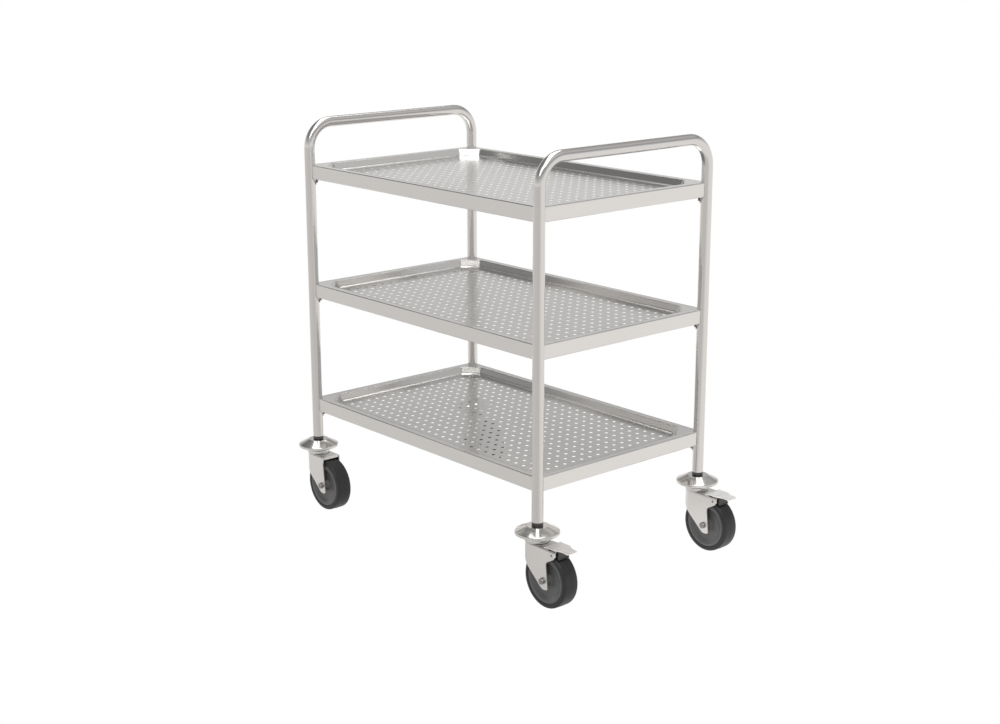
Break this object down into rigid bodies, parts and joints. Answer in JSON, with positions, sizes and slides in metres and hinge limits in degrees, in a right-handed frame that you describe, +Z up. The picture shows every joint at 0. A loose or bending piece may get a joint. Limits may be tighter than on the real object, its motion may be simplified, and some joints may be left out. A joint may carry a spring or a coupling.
{
  "type": "food service trolley",
  "caption": "Food service trolley of bent steel tube with pressed shelves, swivel casters, bumper discs and foot brakes.",
  "frame": {"origin": "on the floor, under the middle of the whole trolley at rest", "axes": "+X towards the end with the braked casters, +Y across the trolley, +Z up"},
  "size_m": [0.952, 0.592, 0.95],
  "materials": {
    "polished_tube": "polished stainless tube",
    "shelf_sheet": "satin stainless sheet",
    "plated_steel": "satin zinc plate",
    "bumper_steel": "polished stainless pressing",
    "black_plastic": "moulded",
    "grey_rubber": "smooth rubber",
    "grey_core": "moulded"
  },
  "bodies": {
    "frame": {"end_frame_left": "polished_tube", "end_frame_right": "polished_tube", "shelf_bottom": "shelf_sheet", "shelf_middle": "shelf_sheet", "shelf_top": "shelf_sheet", "saddle_bolt_bottom_front_left": "plated_steel", "saddle_bolt_bottom_back_left": "plated_steel", "saddle_bolt_bottom_front_right": "plated_steel", "saddle_bolt_bottom_back_right": "plated_steel", "saddle_bolt_middle_front_left": "plated_steel", "saddle_bolt_middle_back_left": "plated_steel", "saddle_bolt_middle_front_right": "plated_steel", "saddle_bolt_middle_back_right": "plated_steel", "saddle_bolt_top_front_left": "plated_steel", "saddle_bolt_top_back_left": "plated_steel", "saddle_bolt_top_front_right": "plated_steel", "saddle_bolt_top_back_right": "plated_steel", "expander_front_left": "black_plastic", "bumper_front_left": "bumper_steel", "swivel_head_front_left": "plated_steel", "expander_back_left": "black_plastic", "bumper_back_left": "bumper_steel", "swivel_head_back_left": "plated_steel", "expander_front_right": "black_plastic", "bumper_front_right": "bumper_steel", "swivel_head_front_right": "plated_steel", "expander_back_right": "black_plastic", "bumper_back_right": "bumper_steel", "swivel_head_back_right": "plated_steel"},
    "swivel_front_left": {"fork_front_left": "plated_steel", "axle_bolt_front_left": "plated_steel", "axle_nut_front_left": "plated_steel", "axle_sleeve_front_left": "plated_steel"},
    "wheel_front_left": {"wheel_core_front_left": "grey_core", "tyre_front_left": "grey_rubber"},
    "swivel_back_left": {"fork_back_left": "plated_steel", "axle_bolt_back_left": "plated_steel", "axle_nut_back_left": "plated_steel", "axle_sleeve_back_left": "plated_steel"},
    "wheel_back_left": {"wheel_core_back_left": "grey_core", "tyre_back_left": "grey_rubber"},
    "swivel_front_right": {"fork_front_right": "plated_steel", "axle_bolt_front_right": "plated_steel", "axle_nut_front_right": "plated_steel", "axle_sleeve_front_right": "plated_steel", "brake_pin_front_right": "plated_steel"},
    "wheel_front_right": {"wheel_core_front_right": "grey_core", "tyre_front_right": "grey_rubber"},
    "pedal_front_right": {"brake_pedal_front_right": "plated_steel", "brake_shoe_front_right": "plated_steel"},
    "swivel_back_right": {"fork_back_right": "plated_steel", "axle_bolt_back_right": "plated_steel", "axle_nut_back_right": "plated_steel", "axle_sleeve_back_right": "plated_steel", "brake_pin_back_right": "plated_steel"},
    "wheel_back_right": {"wheel_core_back_right": "grey_core", "tyre_back_right": "grey_rubber"},
    "pedal_back_right": {"brake_pedal_back_right": "plated_steel", "brake_shoe_back_right": "plated_steel"}
  },
  "joints": [
    {"name": "swivel_turn_front_left", "type": "hinge", "parent": "frame", "child": "swivel_front_left", "pos_m": [-0.428, -0.248, 0.1345], "axis": [0, 0, 1], "continuous": true},
    {"name": "wheel_spin_front_left", "type": "hinge", "parent": "swivel_front_left", "child": "wheel_front_left", "pos_m": [-0.3842, -0.248, 0.0625], "axis": [0, 1, 0], "continuous": true},
    {"name": "swivel_turn_back_left", "type": "hinge", "parent": "frame", "child": "swivel_back_left", "pos_m": [-0.428, 0.248, 0.1345], "axis": [0, 0, 1], "continuous": true},
    {"name": "wheel_spin_back_left", "type": "hinge", "parent": "swivel_back_left", "child": "wheel_back_left", "pos_m": [-0.3842, 0.248, 0.0625], "axis": [0, 1, 0], "continuous": true},
    {"name": "swivel_turn_front_right", "type": "hinge", "parent": "frame", "child": "swivel_front_right", "pos_m": [0.369, -0.248, 0.1345], "axis": [0, 0, 1], "continuous": true},
    {"name": "wheel_spin_front_right", "type": "hinge", "parent": "swivel_front_right", "child": "wheel_front_right", "pos_m": [0.4128, -0.248, 0.0625], "axis": [0, 1, 0], "continuous": true},
    {"name": "brake_press_front_right", "type": "hinge", "parent": "swivel_front_right", "child": "pedal_front_right", "pos_m": [0.43943, -0.248, 0.12615], "axis": [0, 1, 0], "range_deg": [0, 11]},
    {"name": "swivel_turn_back_right", "type": "hinge", "parent": "frame", "child": "swivel_back_right", "pos_m": [0.369, 0.248, 0.1345], "axis": [0, 0, 1], "continuous": true},
    {"name": "wheel_spin_back_right", "type": "hinge", "parent": "swivel_back_right", "child": "wheel_back_right", "pos_m": [0.4128, 0.248, 0.0625], "axis": [0, 1, 0], "continuous": true},
    {"name": "brake_press_back_right", "type": "hinge", "parent": "swivel_back_right", "child": "pedal_back_right", "pos_m": [0.43943, 0.248, 0.12615], "axis": [0, 1, 0], "range_deg": [0, 11]}
  ]
}
